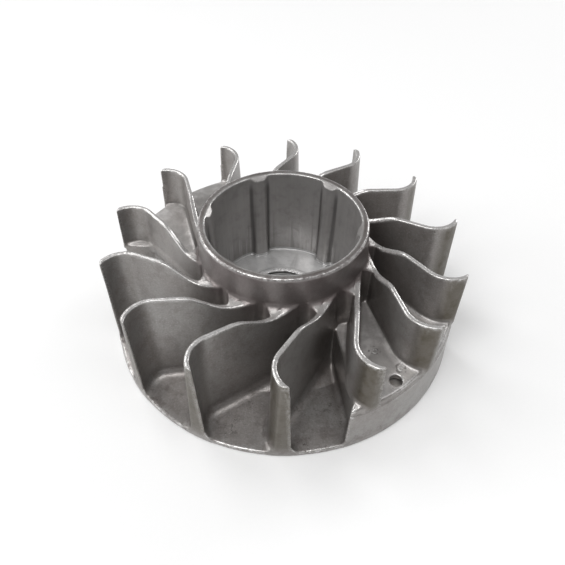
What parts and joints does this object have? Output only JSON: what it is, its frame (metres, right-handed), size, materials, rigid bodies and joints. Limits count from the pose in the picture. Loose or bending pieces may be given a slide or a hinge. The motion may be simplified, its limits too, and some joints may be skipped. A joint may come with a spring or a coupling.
{
  "type": "fan flywheel",
  "caption": "Round die-cast engine flywheel with hooked cooling vanes, a ribbed starter cup at the middle, a magnet housing at the rim and a counterweight opposite it.",
  "frame": {"origin": "on the crank axis at the underside of the wheel, the face that looks at the engine", "axes": "+Z along the crank axis towards the mouth of the starter cup; +X along the keyway in the bush, azimuths counter-clockwise seen from +Z; the magnet is at azimuth -39.3 degrees"},
  "size_m": [0.1044, 0.1049, 0.0385],
  "materials": {
    "cast_aluminium": "satin die-cast skin, slightly warm, with bright worn edges",
    "machined_aluminium": "turned, bright",
    "steel": "turned steel",
    "laminations": "stacked electrical sheet, ground on its face",
    "magnet_alloy": "matt dark magnet alloy"
  },
  "bodies": {
    "root": {"base_disc": "cast_aluminium", "hub_base": "machined_aluminium", "starter_cup": "cast_aluminium", "magnet_housing": "cast_aluminium", "counterweight": "cast_aluminium", "vane_01": "cast_aluminium", "vane_02": "cast_aluminium", "vane_03": "cast_aluminium", "vane_04": "cast_aluminium", "vane_05": "cast_aluminium", "vane_06": "cast_aluminium", "vane_07": "cast_aluminium", "vane_08": "cast_aluminium", "vane_09": "cast_aluminium", "vane_10": "cast_aluminium", "vane_11": "cast_aluminium", "vane_12": "cast_aluminium", "vane_13": "cast_aluminium", "vane_14": "cast_aluminium", "hub_bush": "steel", "magnet": "magnet_alloy", "pole_shoe_leading": "laminations", "pole_rivet_leading_1": "steel", "pole_rivet_leading_2": "steel", "pole_shoe_trailing": "laminations", "pole_rivet_trailing_1": "steel", "pole_rivet_trailing_2": "steel"}
  },
  "joints": []
}
